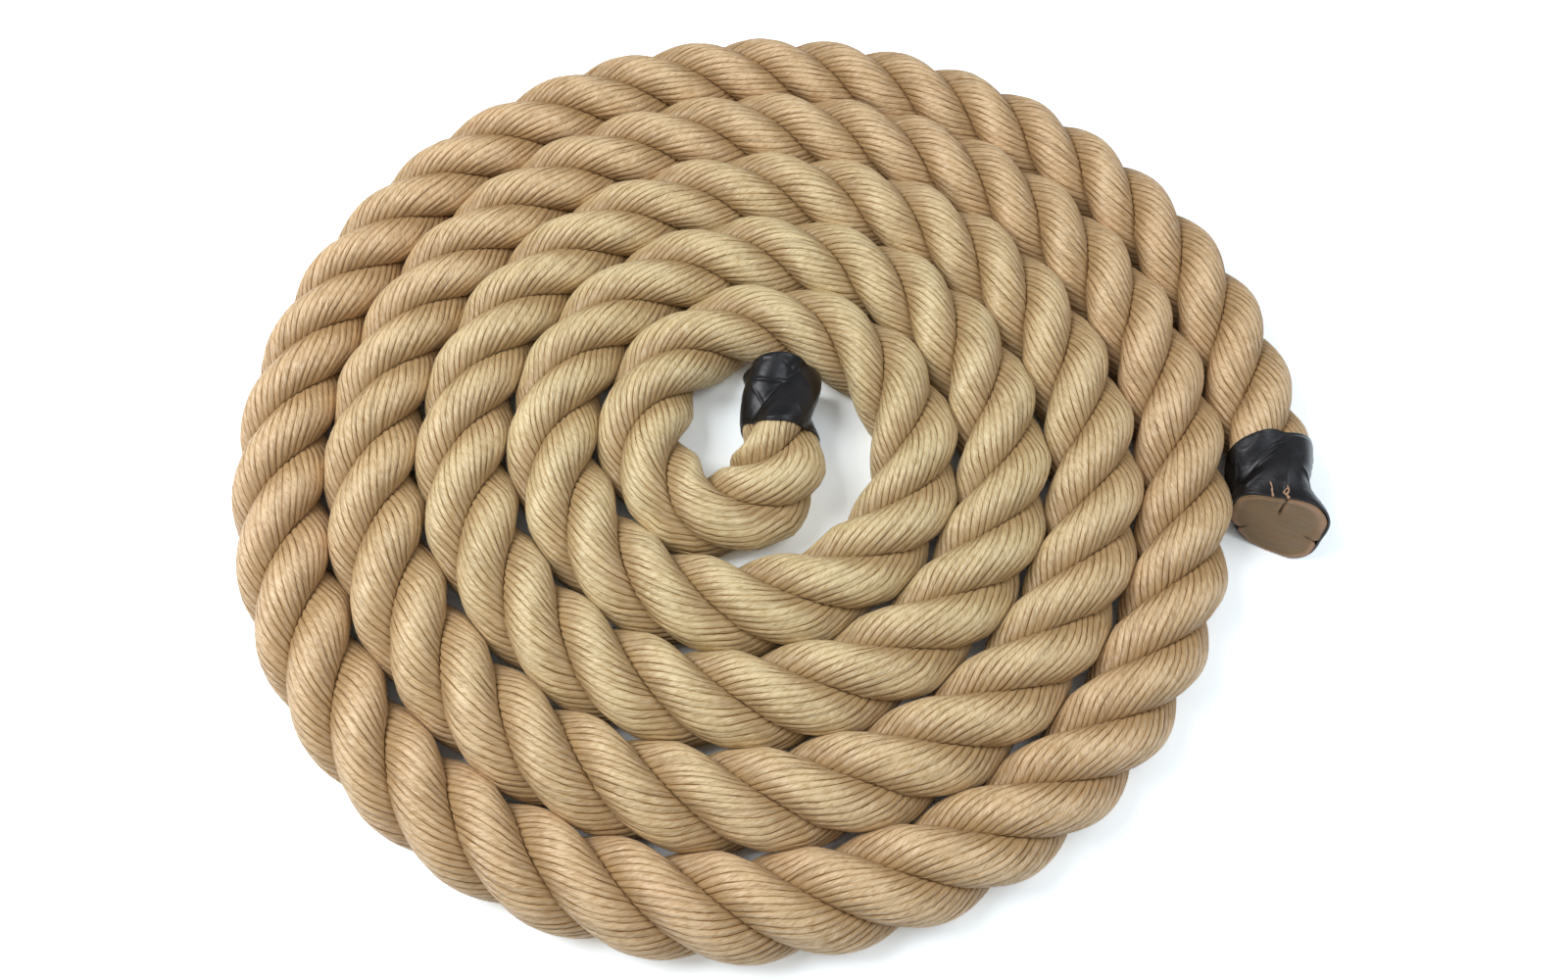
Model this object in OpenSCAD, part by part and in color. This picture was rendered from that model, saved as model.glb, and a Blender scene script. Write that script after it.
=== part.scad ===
// Three-strand laid rope, coiled flat, with both ends heat-sealed and taped.
// Units are millimetres and +Z is up. The coil lies on Z = 0.
// The origin is the middle of the coil's outline, on the surface that it lies on.
// The rope's path is a straight inner end, a tight hook, an even spiral that
// grows by one pitch a turn, and a straight outer end.

/* [Rope] */
// Diameter over the crowns of the three strands
rope_d = 36.8; // [32:0.2:38]
// Length in which a strand goes once round the rope, right-handed
lay_len = 103.2; // [94:0.1:112]
// How much further an even tightening of the lay has turned the strands by the outer end
lay_gain = 244; // [0:2:300]
// How far the lay sways forth and back in each turn of the coil, in degrees
lay_sway = 10.7; // [0:0.1:14]
// Turn angle at which that sway is furthest forth, in degrees
sway_turn = 138; // [0:1:359]
// How far the lay lags at each cut face, in degrees
end_lag = 56; // [0:1:70]
// Length over which that lag fades
lag_len = 250; // [150:5:300]
// Radius of the rounded outside of a strand
crown_r = 11; // [10.4:0.1:11.6]
// Clearance between neighbouring strands
strand_gap = 0.7; // [0.6:0.05:1]
// Direction of the first strand at the inner cut face, in degrees
lay_start = 38; // [-180:1:180]
// How far the underside is settled flat by the rope's own weight
settle = 3.6; // [2:0.1:4]

/* [Coil] */
// Centreline radius of bend where the spiral starts
core_r = 42.4; // [41:0.1:50]
// Clearance between neighbouring turns
turn_gap = 0.65; // [0.65:0.05:3]
// Turns of the spiral
coil_turns = 4.647; // [2:0.001:5.6]
// Centreline radius of the inner hook
hook_r = 25.5; // [24:0.5:27]
// How far the hook turns before the spiral starts, in degrees
hook_turn = 130; // [120:1:150]
// Straight run of the outer end
outer_leg = 20; // [14:1:90]
// Clearance between the inner end and the turn that it points at
end_gap = 0.6; // [0.5:0.1:0.9]

/* [Ends] */
// Width of the tape wound round each end
tape_w = 34; // [24:1:35]
// Thickness of the wound tape
tape_t = 0.6; // [0.4:0.1:1.2]
// Clearance between the tape and the strands
tape_fit = 0.4; // [0.35:0.05:0.6]
// How far the tape draws the inner end in, on the radius
inner_draw = 2.2; // [1:0.1:2.6]
// How far the tape draws the outer end in, on the radius
outer_draw = 1.8; // [0.4:0.1:2]
// How much further each tape draws the rope in halfway along
waist_draw = 1; // [0:0.1:1.6]
// How far the hot-cut outer end flares, on the radius
end_flare = 2.8; // [0:0.1:4]
// Length of that flare
flare_len = 22; // [14:1:30]
// Thickness of the sealed end that closes each cut face
seal_t = 5; // [3:0.5:7]
// Clearance between the strands and the sealed ends
seal_fit = 0.3; // [0.2:0.05:0.5]
// Bare length between each tape and its cut face
end_bare = 0.5; // [0.3:0.1:2]
// Length over which the rope rises to stand on its tape
lift_len = 40; // [25:1:60]

/* [Detail] */
// Rings of a strand in one lay length
lay_rings = 10; // [6:1:12]
// Rings of a strand under each tape
tape_rings = 6; // [4:1:10]

/* [Hidden] */
rope_r = rope_d / 2;
pitch = rope_d + turn_gap;
lean = pitch / (2 * PI);
crown_off = rope_r - crown_r;
rest_z = rope_r - settle;
tape_mouth = end_bare + tape_w;
inner_tape_r = rope_r - inner_draw + tape_fit + tape_t;
turn = 360;
strand_count = 3;
strand_step = turn / strand_count;
half_step = strand_step / 2;
crown_turn = 50;
rope_colour = [0.76, 0.62, 0.42];
tape_colour = [0.07, 0.07, 0.08];
seal_colour = [0.38, 0.28, 0.21];

// ---- directions: a turn angle runs clockwise from +X, seen from above ----
function outward(a) = [cos(a), -sin(a)];
function ahead(a) = [-sin(a), -cos(a)];

// ---- the spiral: its radius of bend grows evenly, so its turns stay a pitch apart ----
function bend_r(a) = core_r + pitch * (a - hook_turn) / turn;
function spiral_at(a) = bend_r(a) * outward(a) + lean * ahead(a);
function spiral_len(turns) = 2 * PI * turns * (core_r + pitch * turns / 2);
function spiral_angle(run) =
    hook_turn + turn * (sqrt(core_r * core_r + pitch * run / PI) - core_r) / pitch;

// ---- the inner end stops short of the first turn's inner side ----
hook_at = spiral_at(hook_turn) - hook_r * outward(hook_turn);
leg_x = hook_at.x + hook_r;
far_side_angles = [200:2:350];
inner_side = [for (a = far_side_angles) spiral_at(a) - rope_r * outward(a)];
leg_top = min([for (q = inner_side) if (abs(q.x - leg_x) <= inner_tape_r) q.y]) - end_gap;

// ---- marks along the rope, from the inner cut face ----
hook_start = leg_top - hook_at.y;
spiral_start = hook_start + hook_r * hook_turn * PI / 180;
spiral_end = spiral_start + spiral_len(coil_turns);
rope_len = spiral_end + outer_leg;
strands_start = seal_t + seal_fit;
strands_end = rope_len - seal_t - seal_fit;
outer_mouth = rope_len - tape_mouth;

// ---- the rope's turn angle and centre at a distance along it ----
function turn_angle(s) =
    s < hook_start ? 0
    : s < spiral_start ? 180 * (s - hook_start) / (PI * hook_r)
    : spiral_angle(min(s, spiral_end) - spiral_start);

function centre_xy(s, a) =
    s < hook_start ? [leg_x, leg_top - s]
    : s < spiral_start ? hook_at + hook_r * outward(a)
    : spiral_at(a) + max(s - spiral_end, 0) * ahead(a);

// ---- the taped ends: drawn in to a waist, the outer one flared at its hot-cut face ----
function ease(t) = let (u = min(max(t, 0), 1)) u * u * (3 - 2 * u);
function outer_half(s) = s > rope_len / 2;
function end_dist(s) = min(s, rope_len - s);
function draw_at(s) = outer_half(s) ? outer_draw : inner_draw;
function flare_at(s) = outer_half(s) ? end_flare * ease(1 - end_dist(s) / flare_len) : 0;
function taped_r(s) =
    rope_r - draw_at(s) - waist_draw * sin(180 * min(end_dist(s) / tape_mouth, 1)) + flare_at(s);
function share_at(s) = end_dist(s) < tape_mouth + free_step / 2 ? taped_r(s) / rope_r : 1;

// The ends stand on their tape, so the rope rises a little towards them.
function centre_z(s) =
    let (stand = rope_r - draw_at(s) + tape_fit + tape_t,
         lift = outer_half(s) ? end_flare * pow(max(1 - end_dist(s) / tape_mouth, 0), 2) : 0)
    stand - (stand - rest_z) * ease((end_dist(s) - tape_mouth) / lift_len) + lift;

// ---- one ring of points round the rope: outline points are [radius, angle] ----
function ring(s, outline) =
    let (a = turn_angle(s), c = centre_xy(s, a), z = centre_z(s), n = outward(a))
    [for (p = outline)
        let (side = p[0] * cos(p[1]), up = p[0] * sin(p[1]))
        [c.x + side * n.x, c.y + side * n.y, max(z + up, 0)]];

function polar(x, y) = [norm([x, y]), atan2(y, x)];
function turned(outline, a) = [for (p = outline) [p[0], p[1] + a]];
function lay_angle(s) =
    lay_start + turn * s / lay_len + lay_gain * pow(s / rope_len, 2)
    + lay_sway * cos(turn_angle(s) - sway_turn)
    - end_lag * pow(max(1 - end_dist(s) / lag_len, 0), 2);
function crown(share, extra, turns) =
    [for (t = turns) let (r = crown_r * share + extra)
        polar(crown_off * share + r * cos(t), r * sin(t))];

// How far round a crown runs before it meets its neighbour's
function meet_turn(share, extra) =
    half_step + asin(crown_off * share * sin(half_step) / (crown_r * share + extra));

// ---- a strand's outline: its heel on the rope's axis, two valleys and the crown ----
function strand_outline(share) =
    let (v = crown(share, 0, [meet_turn(share, 0)])[0][0], g = strand_gap / 2)
    let (x = v * cos(half_step) + g * sin(half_step), y = v * sin(half_step) - g * cos(half_step))
    concat([[g / sin(half_step), 0], polar(x, -y)],
           crown(share, 0, [-crown_turn, 0, crown_turn]),
           [polar(x, y)]);

function span(from, to, parts) = [for (i = [0:parts]) from + (to - from) * i / parts];
free_rings = round((outer_mouth - tape_mouth) * lay_rings / lay_len);
free_step = (outer_mouth - tape_mouth) / free_rings;
function tape_marks(from) = span(from, from + tape_w, tape_rings);
strand_marks = concat(
    [strands_start],
    [for (s = tape_marks(end_bare)) if (s > strands_start + seal_fit) s],
    span(tape_mouth + free_step, outer_mouth - free_step, free_rings - 2),
    [for (s = tape_marks(outer_mouth)) if (s < strands_end - seal_fit) s],
    [strands_end]);

function strand_ring(s, k) =
    ring(s, turned(strand_outline(share_at(s)), lay_angle(s) + strand_step * k));

// ---- a skin over rings of equal count ----
// Each face is split along the lay. A strand's last column mirrors the split of the
// neighbour that it faces, and a looped skin's second half, which runs back, mirrors its first.
function quad(i, j, k, l, other) = other ? [[i, k, j], [i, l, k]] : [[i, l, j], [j, l, k]];
function skin_faces(rows, sides, looped, heel) =
    [for (r = [0:rows - (looped ? 1 : 2)], j = [0:sides - 1])
        let (n = (j + 1) % sides, far = (r + 1) % rows)
        each quad(r * sides + j, r * sides + n, far * sides + n, far * sides + j,
                  (heel && j == sides - 1) || (looped && r >= rows / 2))];
function end_faces(first, sides, back) =
    [for (j = [1:sides - 2])
        back ? [first, first + j, first + j + 1] : [first, first + j + 1, first + j]];

module skin(rings, heel = false) {
    sides = len(rings[0]);
    rows = len(rings);
    polyhedron(
        points = [for (r = rings) each r],
        faces = concat(skin_faces(rows, sides, false, heel),
                       end_faces(0, sides, true),
                       end_faces((rows - 1) * sides, sides, false)));
}

module looped_skin(rings) {
    polyhedron(points = [for (r = rings) each r],
               faces = skin_faces(len(rings), len(rings[0]), true, false));
}

// ---- sub-parts ----
module strand(k) {
    color(rope_colour) skin([for (s = strand_marks) strand_ring(s, k)], heel = true);
}

// Tape lies round the three crowns and bridges the valleys between them.
tape_turns = [-crown_turn, -crown_turn / 2, 0, crown_turn / 2, crown_turn];
function tape_ring(s, extra) =
    ring(s, [for (k = [0:strand_count - 1])
        each turned(crown(share_at(s), extra, tape_turns), lay_angle(s) + strand_step * k)]);

module end_tape(from) {
    marks = tape_marks(from);
    color(tape_colour) looped_skin(concat(
        [for (s = marks) tape_ring(s, tape_fit + tape_t)],
        [for (i = [tape_rings:-1:0]) tape_ring(marks[i], tape_fit)]));
}

// A sealed end is the three strands melted into one plate of three lobes with seams between.
seal_seam = 5;
seal_sides = 5;
seal_steps = [0, 0.15, 0.55, 1];
seal_insets = [1, 0.5, 0.5, 0.5];
function seal_ring(s, extra) =
    ring(s, [for (k = [0:strand_count - 1])
        let (share = share_at(s), reach = meet_turn(share, extra) - seal_seam)
        each turned(crown(share, extra, span(-reach, reach, seal_sides)),
                    lay_angle(s) + strand_step * k)]);

module sealed_end(outer) {
    steps = outer ? [3, 2, 1, 0] : [0, 1, 2, 3];
    color(seal_colour) skin([for (i = steps)
        seal_ring(outer ? rope_len - seal_t * seal_steps[i] : seal_t * seal_steps[i],
                  -seal_insets[i])]);
}

// ---- the middle of the coil's outline, seen from above ----
outline_points = concat(
    [for (s = strand_marks, k = [0:strand_count - 1]) each strand_ring(s, k)],
    [for (s = tape_marks(outer_mouth)) each tape_ring(s, tape_fit + tape_t)]);
function middle(v) = (min(v) + max(v)) / 2;
outline_middle = [middle([for (p = outline_points) p.x]), middle([for (p = outline_points) p.y])];

module placed() {
    translate([-outline_middle.x, -outline_middle.y, 0]) children();
}

// ---- measures, on points ----
function flat_gap(p, q, r) =
    let (d = r - q, t = min(max((p - q) * d / (d * d), 0), 1)) norm(p - q - t * d);
probe_step = 12;
probe_marks = span(hook_start, rope_len, ceil(rope_len / probe_step));
turn_points = [for (s = probe_marks) centre_xy(s, turn_angle(s))];
turn_reach = ceil(PI * hook_r / probe_step);
last_probe = len(turn_points) - 2;
least_turn_gap = min([for (i = [0:last_probe - turn_reach], j = [i + turn_reach:last_probe])
    flat_gap(turn_points[i], turn_points[j], turn_points[j + 1])]) - rope_d;
echo(str("Least gap between turns, mm: ", least_turn_gap));

lay_marks = span(spiral_start, spiral_start + lay_len, lay_rings);
least_strand_gap = min([for (i = [1:lay_rings - 1], j = [i - 1:i + 1],
    p = strand_ring(lay_marks[i], 0), q = strand_ring(lay_marks[j], 1)) norm(p - q)]);
echo(str("Least gap between strands, mm: ", least_strand_gap));
echo(str("Length of the rope, mm: ", rope_len));

placed() strand(0);  // strand_1
placed() strand(1);  // strand_2
placed() strand(2);  // strand_3
placed() end_tape(end_bare);  // inner_end_tape
placed() end_tape(outer_mouth);  // outer_end_tape
placed() sealed_end(false);  // inner_sealed_end
placed() sealed_end(true);  // outer_sealed_end
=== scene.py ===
"""Looks of a three-strand climbing rope of synthetic hemp, coiled flat, with taped and sealed ends.

Everything is in metres, with +Z up, and the coil lies on Z = 0. Angles in the sizes are in degrees.
A place along the rope, s, is its distance from the inner cut face.
"""

from __future__ import annotations

import logging
import math
from collections.abc import Iterable
from dataclasses import dataclass, field
from enum import Enum

import bpy
import numpy as np
from mathutils import Matrix

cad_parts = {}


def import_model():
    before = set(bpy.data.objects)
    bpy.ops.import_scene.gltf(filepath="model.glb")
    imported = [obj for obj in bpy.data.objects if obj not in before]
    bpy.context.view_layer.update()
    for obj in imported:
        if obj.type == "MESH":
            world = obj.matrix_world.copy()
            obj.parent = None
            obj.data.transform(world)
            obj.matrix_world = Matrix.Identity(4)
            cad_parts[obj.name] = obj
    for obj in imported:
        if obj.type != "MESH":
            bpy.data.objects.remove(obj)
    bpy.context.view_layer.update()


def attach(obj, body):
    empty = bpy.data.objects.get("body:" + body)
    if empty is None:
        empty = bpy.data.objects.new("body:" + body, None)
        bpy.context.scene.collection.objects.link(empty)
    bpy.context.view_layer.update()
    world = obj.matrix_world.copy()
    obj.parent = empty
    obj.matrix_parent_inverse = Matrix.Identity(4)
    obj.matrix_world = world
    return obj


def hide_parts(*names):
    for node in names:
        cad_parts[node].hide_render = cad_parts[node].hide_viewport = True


log = logging.getLogger("rope")

BODY = "root"
YARN_MAP = "YarnPlace"
STRAND_MAP = "StrandPlace"
BAKE_MAP = "OFBake"
TURN = 360.0
MM = 0.001

Array = np.ndarray
Object = bpy.types.Object
Material = bpy.types.Material
Tree = bpy.types.NodeTree
Node = bpy.types.Node
Socket = bpy.types.NodeSocket
Inputs = dict[str | int, object]
Sockets = dict[str, Socket]
Faces = list[list[int]]
Colour = tuple[float, float, float]
Place = tuple[float, float, float]


class Slot(Enum):
    """Material slots of the part's record."""

    ROPE = "rope"
    TAPE = "tape"
    SEAL = "sealed_fibre"


class End(Enum):
    """The rope's two ends."""

    INNER = "inner"
    OUTER = "outer"


# ---------------------------------------------------------------- small helpers


def ease(t: Array | float) -> Array:
    """Goes smoothly from 0 to 1 as t does, and stays there outside."""
    u = np.clip(t, 0.0, 1.0)
    return u * u * (3.0 - 2.0 * u)


def bell(t: Array | float, power: float = 2.0) -> Array:
    """A smooth hump of height 1 about 0, squarer for a higher power."""
    return np.exp(-(np.abs(t) ** power))


def soft_least(a: Array, b: Array | float, width: float) -> Array:
    """The lesser of a and b, rounded over width where they are close."""
    h = np.clip(0.5 + 0.5 * (b - a) / width, 0.0, 1.0)
    return b + (a - b) * h - width * h * (1.0 - h)


def turned(angle: Array, middle: Array | float = 0.0, turn: float = TURN) -> Array:
    """How far angles are from a middle one, the short way round: from -turn / 2 to turn / 2."""
    return (angle - middle + turn / 2) % turn - turn / 2


def crown_reach(offset: Array | float, crown: Array | float, off: Array) -> Array:
    """How far a round strand reaches from the rope's middle.

    Args:
        offset: Distance from the rope's middle to the strand's.
        crown: Radius of the strand.
        off: Angles from the strand's crown, in radians.

    Returns:
        The distances from the rope's middle to the strand's skin.
    """
    return offset * np.cos(off) + np.sqrt(crown**2 - (offset * np.sin(off)) ** 2)


def drift(rng: np.random.Generator, marks: Array, count: int, knot: float) -> Array:
    """Smooth random values from -1 to 1.

    Args:
        rng: Seeded source of the values.
        marks: Places along the rope, rising.
        count: How many lines drift on their own.
        knot: Distance over which a line's value changes.

    Returns:
        An array of len(marks) rows and count columns.
    """
    x = (marks - marks[0]) / knot
    whole = np.floor(x).astype(int)
    share = ease(x - whole)[:, None]
    values = rng.uniform(-1.0, 1.0, (whole[-1] + 2, count))
    return values[whole] * (1.0 - share) + values[whole + 1] * share


def grid_quads(rows: int, columns: int, closed: bool = False) -> Array:
    """Quads between rings of points that run anticlockwise about the way ahead.

    Args:
        rows: Number of rings.
        columns: Points in a ring.
        closed: Whether the last ring joins the first.

    Returns:
        The quads, those of one ring after another.
    """
    i, j = np.arange(rows if closed else rows - 1)[:, None], np.arange(columns)
    here, there, after = i * columns, (i + 1) % rows * columns, (j + 1) % columns
    return np.stack([here + j, here + after, there + after, there + j], -1).reshape(-1, 4)


def closed_tube(rows: int, columns: int) -> Faces:
    """Faces of a tube whose ends close onto two more points, which follow the rings' own points.

    Args:
        rows: Number of rings.
        columns: Points in a ring.

    Returns:
        The skin's quads, then the triangles of each end.
    """
    rim, last, tip = np.arange(columns), (rows - 1) * columns, rows * columns
    after = (rim + 1) % columns
    near = np.stack([np.full(columns, tip), after, rim], -1)
    far = np.stack([np.full(columns, tip + 1), last + rim, last + after], -1)
    return grid_quads(rows, columns).tolist() + near.tolist() + far.tolist()


def quad_corners(near: Array, far: Array, across: Array) -> Array:
    """UV pairs of a tube's quads.

    Args:
        near: First value of each ring of quads at its near side.
        far: The same at its far side.
        across: Second value at each column's edges.

    Returns:
        An array of rings, columns, 4 corners and 2 values.
    """
    u = np.stack([near, near, far, far], -1)[:, None, :].repeat(len(across) - 1, 1)
    v = np.stack([across[:-1], across[1:], across[1:], across[:-1]], -1)[None].repeat(len(near), 0)
    return np.stack([u, v], -1)


def thread(line: Array, thickness: Array, sides: int = 8) -> tuple[Array, Faces]:
    """A round closed thread along a line.

    Args:
        line: Points of its middle, in order.
        thickness: Its thickness at each of them.
        sides: Points round it.

    Returns:
        Its points and its faces.
    """
    ahead = np.gradient(line, axis=0)
    ahead = ahead / np.linalg.norm(ahead, axis=1, keepdims=True)
    side = np.cross(ahead, [0.0, 0.0, 1.0])
    side = side / np.maximum(np.linalg.norm(side, axis=1, keepdims=True), 1e-9)
    above = np.cross(ahead, side)
    turn = np.linspace(0.0, 2 * math.pi, sides, endpoint=False)[None, :, None]
    ring = np.cos(turn) * side[:, None] + np.sin(turn) * above[:, None]
    points = (line[:, None] + ring * thickness[:, None, None] / 2).reshape(-1, 3)
    return np.concatenate([points, line[[0, -1]]]), closed_tube(len(line), sides)


def mesh_object(name: str, points: Array, faces: Faces, maps: dict[str, Array] | None = None) -> Object:
    """Makes a smooth-shaded mesh object.

    Args:
        name: Name of the object.
        points: Vertices, in the part's frame.
        faces: Vertex indices of each face.
        maps: UV maps by name, with one pair for each corner of each face.

    Returns:
        The object, linked to the scene.
    """
    mesh = bpy.data.meshes.new(name)
    mesh.from_pydata(points.tolist(), [], faces)
    for map_name, pairs in (maps or {}).items():
        layer = mesh.uv_layers.new(name=map_name, do_init=False)
        layer.data.foreach_set("uv", pairs.astype(np.float32).ravel())
    mesh.polygons.foreach_set("use_smooth", np.ones(len(mesh.polygons), dtype=bool))
    mesh.update()
    made = bpy.data.objects.new(name, mesh)
    bpy.context.scene.collection.objects.link(made)
    return made


def put_on(piece: Object, material: Material) -> None:
    """Gives a piece its material and the body it rides on."""
    piece.data.materials.append(material)
    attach(piece, BODY)


# ---------------------------------------------------------------- shader nodes


class Graph:
    """A node tree with short calls that add and link nodes."""

    def __init__(self, tree: Tree) -> None:
        """Takes over a tree."""
        self.tree = tree

    def feed(self, node: Node, inputs: Inputs) -> None:
        """Links or sets a node's inputs.

        Args:
            node: The node.
            inputs: Output sockets to link, or values, by the input's name or number.
        """
        for key, value in inputs.items():
            socket = node.inputs[key]
            if isinstance(value, Socket):
                self.tree.links.new(value, socket)
            else:
                socket.default_value = (*value, 1.0) if socket.type == "RGBA" else value

    def add(self, kind: str, inputs: Inputs | None = None, **settings: object) -> Node:
        """Adds a node.

        Args:
            kind: Node type, without the "ShaderNode" in front.
            inputs: Values or output sockets for its inputs, by name or number.
            **settings: Attributes of the node, such as its operation.

        Returns:
            The node.
        """
        node = self.tree.nodes.new(kind if kind.startswith("NodeGroup") else "ShaderNode" + kind)
        for setting, value in settings.items():
            setattr(node, setting, value)
        self.feed(node, inputs or {})
        return node

    def math(self, operation: str, *values: object) -> Socket:
        """The result of a Math node."""
        return self.add("Math", dict(enumerate(values)), operation=operation).outputs[0]

    def times(self, value: object, factor: object) -> Socket:
        """One value times another."""
        return self.math("MULTIPLY", value, factor)

    def fade(
        self, value: object, low: object, high: object, to_low: float = 0.0, to_high: float = 1.0
    ) -> Socket:
        """Goes smoothly from to_low to to_high as value goes from low to high."""
        ends = {"Value": value, "From Min": low, "From Max": high, "To Min": to_low, "To Max": to_high}
        return self.add("MapRange", ends, interpolation_type="SMOOTHSTEP").outputs["Result"]

    def blend(self, share: object, first: object, second: object, kind: str = "MIX") -> Socket:
        """Mixes two colours."""
        mixed = {0: share, 6: first, 7: second}
        return self.add("Mix", mixed, data_type="RGBA", blend_type=kind).outputs[2]

    def layers(self, body: Socket, layers: Iterable[tuple[object, object]]) -> Socket:
        """Lays colours over a first one in turn, each by the share that stands before it."""
        for share, colour in layers:
            body = self.blend(share, body, colour)
        return body

    def noise(self, place: Socket, scale: object, detail: float = 3.0, **more: float) -> Socket:
        """The value of a Noise Texture at a place."""
        inputs = {"Vector": place, "Scale": scale, "Detail": detail, **more}
        return self.add("TexNoise", inputs).outputs["Fac"]

    def bump(self, height: Socket, strength: float, distance: float) -> Socket:
        """The normal of a surface with small heights on it."""
        inputs = {"Strength": strength, "Distance": distance, "Height": height}
        return self.add("Bump", inputs).outputs["Normal"]

    def split(self, vector: Socket) -> Sockets:
        """The X, Y and Z of a vector."""
        return dict(self.add("SeparateXYZ", {"Vector": vector}).outputs.items())

    def uv(self, name: str) -> Sockets:
        """The X and Y of a UV map."""
        return self.split(self.add("UVMap", uv_map=name).outputs[0])

    def spot(self) -> Socket:
        """The shaded point, in the object's own coordinates."""
        return self.add("TexCoord").outputs["Object"]


def new_finish(name: str) -> tuple[Material, Graph, Node]:
    """Starts a material, and returns it with its graph and its Principled shader."""
    made = bpy.data.materials.new(name)
    made.use_nodes = True
    return made, Graph(made.node_tree), made.node_tree.nodes["Principled BSDF"]


def new_group(name: str, inputs: dict[str, float | None], output: str) -> tuple[Graph, Sockets, Node]:
    """Starts a shader node group with named sockets.

    Args:
        name: Name of the group.
        inputs: Default value of each input, or None for a vector.
        output: Name of the one output.

    Returns:
        The group's graph, its inputs as sockets to link from, and its output node.
    """
    group = bpy.data.node_groups.new(name, "ShaderNodeTree")
    for key, value in inputs.items():
        kind = "NodeSocketVector" if value is None else "NodeSocketFloat"
        socket = group.interface.new_socket(name=key, in_out="INPUT", socket_type=kind)
        if value is not None:
            socket.default_value = value
    group.interface.new_socket(name=output, in_out="OUTPUT", socket_type="NodeSocketFloat")
    g = Graph(group)
    return g, dict(g.add("NodeGroupInput").outputs.items()), g.add("NodeGroupOutput")


@dataclass(frozen=True)
class Streak:
    """Scales of fine streaks: how often they change along and across, and how much they lean."""

    along: float
    across: float
    slant: float = 0.0


@dataclass(frozen=True)
class Effects:
    """Shader groups that more than one finish uses."""

    blotches: Tree
    grain: Tree

    @classmethod
    def build(cls) -> Effects:
        """Makes the groups once."""
        return cls(blotches=cls._blotches(), grain=cls._grain())

    @staticmethod
    def _blotches() -> Tree:
        """Soft uneven patches, from 0 to 1, for colour and roughness that change over the surface."""
        inputs = {"Place": None, "Scale": 100.0, "Low": 0.3, "High": 0.7}
        g, given, out = new_group("Blotches", inputs, "Share")
        noise = g.noise(given["Place"], given["Scale"], Roughness=0.55)
        g.feed(out, {"Share": g.fade(noise, given["Low"], given["High"])})
        return g.tree

    @staticmethod
    def _grain() -> Tree:
        """Fine streaks that run along one direction, from 0 to 1."""
        scales = {"Along Scale": 120.0, "Across Scale": 9.0, "Slant": 0.0}
        g, given, out = new_group("Grain", {"Along": 0.0, "Across": 0.0, **scales}, "Streak")
        along = g.times(given["Along"], given["Along Scale"])
        leaning = g.math("MULTIPLY_ADD", given["Along"], given["Slant"], given["Across"])
        place = g.add("CombineXYZ", {"X": along, "Y": g.times(leaning, given["Across Scale"])}).outputs[0]
        g.feed(out, {"Streak": g.noise(place, 1.0, Roughness=0.6)})
        return g.tree

    def patches(self, g: Graph, place: Socket, scale: float, low: float, high: float) -> Socket:
        """Places the blotches in a finish."""
        inputs = {"Place": place, "Scale": scale, "Low": low, "High": high}
        return g.add("Group", inputs, node_tree=self.blotches).outputs[0]

    def streaks(self, g: Graph, along: Socket, across: Socket, sort: Streak) -> Socket:
        """Places the grain in a finish, with the scales of one sort of streak."""
        scales = {"Along Scale": sort.along, "Across Scale": sort.across, "Slant": sort.slant}
        return g.add("Group", {"Along": along, "Across": across, **scales}, node_tree=self.grain).outputs[0]


# ---------------------------------------------------------------- finishes


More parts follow.
